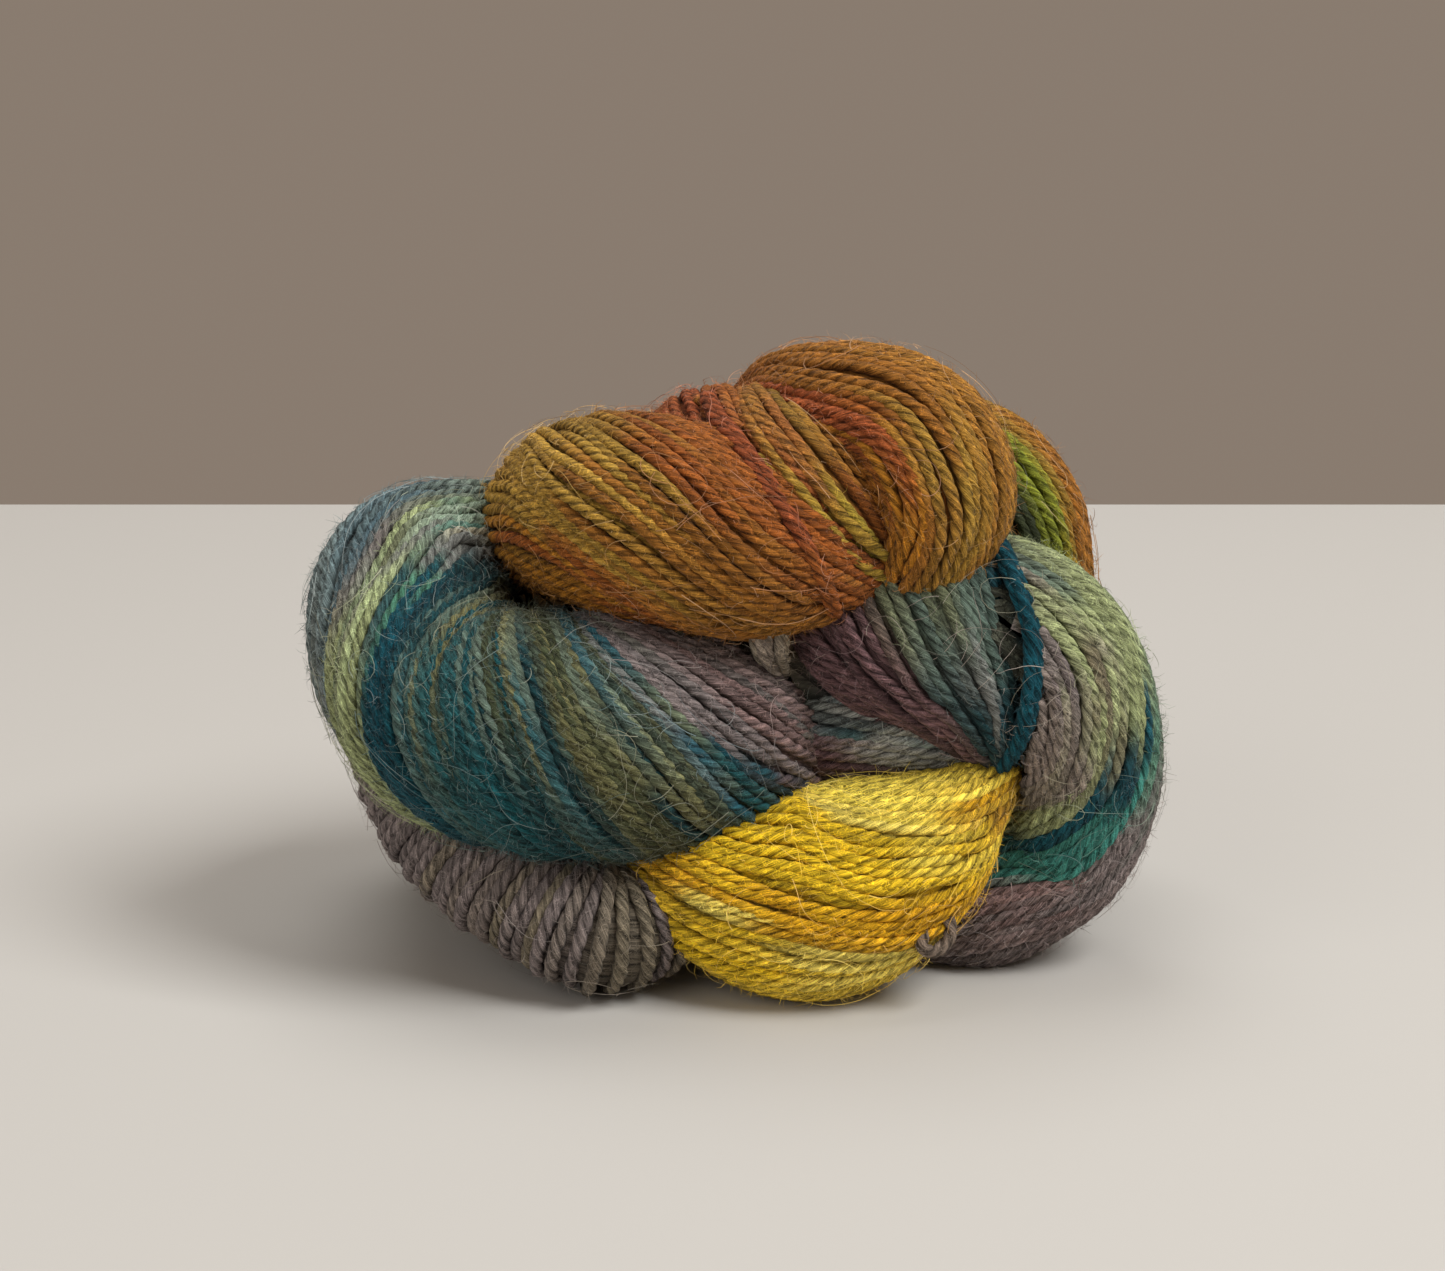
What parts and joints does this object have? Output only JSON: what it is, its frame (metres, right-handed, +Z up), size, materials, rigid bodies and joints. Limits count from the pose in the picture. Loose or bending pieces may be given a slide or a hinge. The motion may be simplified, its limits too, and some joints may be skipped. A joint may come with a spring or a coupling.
{
  "type": "coiled hank of yarn",
  "caption": "Hank of hand-dyed plied wool yarn, twisted into a rope and coiled into a bun that rests on a surface.",
  "frame": {"origin": "bottom centre of the bun, on the surface it rests on", "axes": "+Z up, +X to the right along the bun's longest extent, +Y to the back, so the front faces -Y"},
  "size_m": [0.1305, 0.0928, 0.0966],
  "materials": {
    "yarn": "matt, hairy plied wool, dyed in runs of teal, grey-green, mauve, ochre, rust and yellow"
  },
  "bodies": {
    "root": {"hank": "yarn"}
  },
  "joints": []
}
